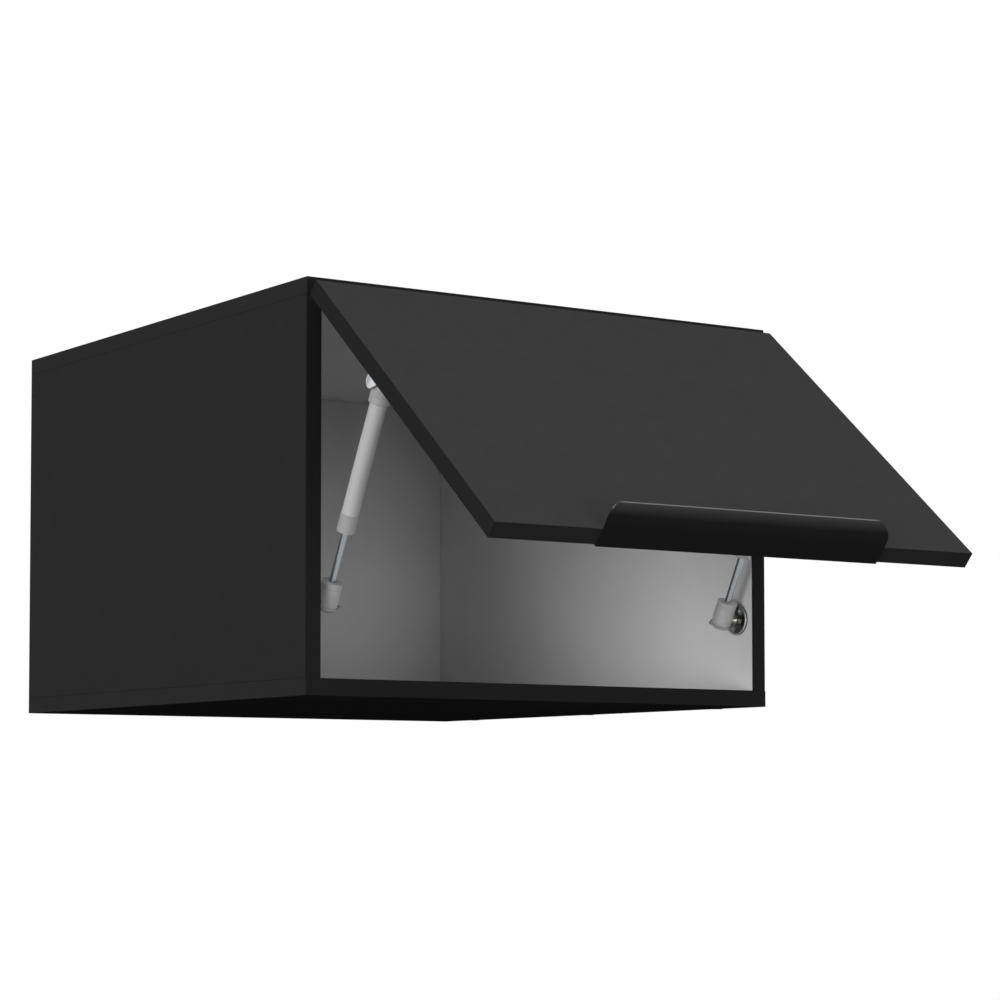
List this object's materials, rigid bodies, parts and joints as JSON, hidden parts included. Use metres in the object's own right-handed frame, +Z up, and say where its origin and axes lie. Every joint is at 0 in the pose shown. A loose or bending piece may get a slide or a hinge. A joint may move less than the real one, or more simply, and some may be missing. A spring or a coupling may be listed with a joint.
{
  "type": "lift up wall cabinet",
  "caption": "Deep wall cabinet of faced chipboard with a top hinged lift up flap, side gas struts, an edge pull handle and a wall hanging rail.",
  "frame": {"origin": "on the wall plane, in the middle of the line of the wall rail's two screw holes", "axes": "+Z up, +Y towards the wall, +X to the right as seen from the front"},
  "size_m": [0.5, 0.842, 0.3578],
  "materials": {
    "black_melamine_board": "matt melamine facing on chipboard",
    "black_edge_band": "matt ABS edging",
    "white_hardboard": "lacquered hardboard",
    "zinc_steel": "bright zinc plated",
    "grey_plastic": "moulded",
    "strut_tube": "silver lacquer",
    "strut_rod": "hard chromed and ground",
    "nickel_steel": "nickel plated",
    "black_aluminium": "black anodised",
    "beech": "turned and fluted",
    "black_foil": "self-adhesive foil",
    "white_plastic": "moulded",
    "clear_rubber": "soft clear"
  },
  "bodies": {
    "carcass": {"back_panel": "white_hardboard", "beech_dowels": "beech", "bottom_panel": "black_melamine_board", "carcass_edge_bands": "black_edge_band", "carcass_screws": "zinc_steel", "hanger_adjusting_screws": "zinc_steel", "hanger_fixing_screws": "zinc_steel", "hanger_hook_left": "zinc_steel", "hanger_hook_right": "zinc_steel", "hanger_housing_left": "white_plastic", "hanger_housing_right": "white_plastic", "hinge_arm_left": "nickel_steel", "hinge_arm_pins": "nickel_steel", "hinge_arm_right": "nickel_steel", "hinge_plate_left": "nickel_steel", "hinge_plate_right": "nickel_steel", "hinge_plate_screws": "nickel_steel", "screw_cover_discs": "black_foil", "side_panel_left": "black_melamine_board", "side_panel_right": "black_melamine_board", "strut_anchor_plate_left": "nickel_steel", "strut_anchor_plate_right": "nickel_steel", "strut_anchor_screws": "zinc_steel", "strut_anchor_stud_left": "nickel_steel", "strut_anchor_stud_right": "nickel_steel", "top_panel": "black_melamine_board", "wall_rail": "zinc_steel"},
    "flap": {"flap_bracket_left": "zinc_steel", "flap_bracket_right": "zinc_steel", "flap_bracket_screws": "zinc_steel", "flap_bumpers": "clear_rubber", "flap_edge_bands": "black_edge_band", "flap_panel": "black_melamine_board", "handle": "black_aluminium", "handle_screws": "zinc_steel", "hinge_cup_left": "nickel_steel", "hinge_cup_pins": "nickel_steel", "hinge_cup_right": "nickel_steel", "hinge_cup_screws": "nickel_steel"},
    "hinge_links": {"hinge_link_left": "nickel_steel", "hinge_link_right": "nickel_steel"},
    "left_rod": {"gas_rod_left": "strut_rod", "piston_left": "grey_plastic", "rod_socket_clip_left": "zinc_steel", "rod_socket_left": "grey_plastic"},
    "left_tube": {"flap_ball_stud_left": "nickel_steel", "gas_tube_left": "strut_tube", "strut_gland_left": "grey_plastic", "tube_socket_clip_left": "zinc_steel", "tube_socket_left": "grey_plastic"},
    "right_rod": {"gas_rod_right": "strut_rod", "piston_right": "grey_plastic", "rod_socket_clip_right": "zinc_steel", "rod_socket_right": "grey_plastic"},
    "right_tube": {"flap_ball_stud_right": "nickel_steel", "gas_tube_right": "strut_tube", "strut_gland_right": "grey_plastic", "tube_socket_clip_right": "zinc_steel", "tube_socket_right": "grey_plastic"}
  },
  "joints": [
    {"name": "flap_hinge", "type": "hinge", "parent": "carcass", "child": "flap", "pos_m": [0, -0.569, 0.029], "axis": [-1, 0, 0], "range_deg": [-49.8, 0]},
    {"name": "left_rod_swing", "type": "hinge", "parent": "carcass", "child": "left_rod", "pos_m": [-0.216, -0.529, -0.2365], "axis": [1, 0, 0], "range_deg": [-25.35, 0]},
    {"name": "left_tube_slide", "type": "slide", "parent": "left_rod", "child": "left_tube", "axis": [0, -0.4597, 0.888], "range_m": [-0.0305, 0]},
    {"name": "right_rod_swing", "type": "hinge", "parent": "carcass", "child": "right_rod", "pos_m": [0.216, -0.529, -0.2365], "axis": [1, 0, 0], "range_deg": [-25.35, 0]},
    {"name": "right_tube_slide", "type": "slide", "parent": "right_rod", "child": "right_tube", "axis": [0, -0.4597, 0.888], "range_m": [-0.0305, 0]},
    {"name": "hinge_link_swing", "type": "hinge", "parent": "carcass", "child": "hinge_links", "pos_m": [0, -0.541, 0.001], "axis": [1, 0, 0], "range_deg": [-21.76, 0]}
  ],
  "couplings": [
    {"joint": "left_rod_swing", "follows": "flap_hinge", "ratio": 0.50879},
    {"joint": "left_tube_slide", "follows": "flap_hinge", "m_per_rad": 0.03507},
    {"joint": "right_rod_swing", "follows": "flap_hinge", "ratio": 0.50879},
    {"joint": "right_tube_slide", "follows": "flap_hinge", "m_per_rad": 0.03507},
    {"joint": "hinge_link_swing", "follows": "flap_hinge", "ratio": 0.4367}
  ]
}
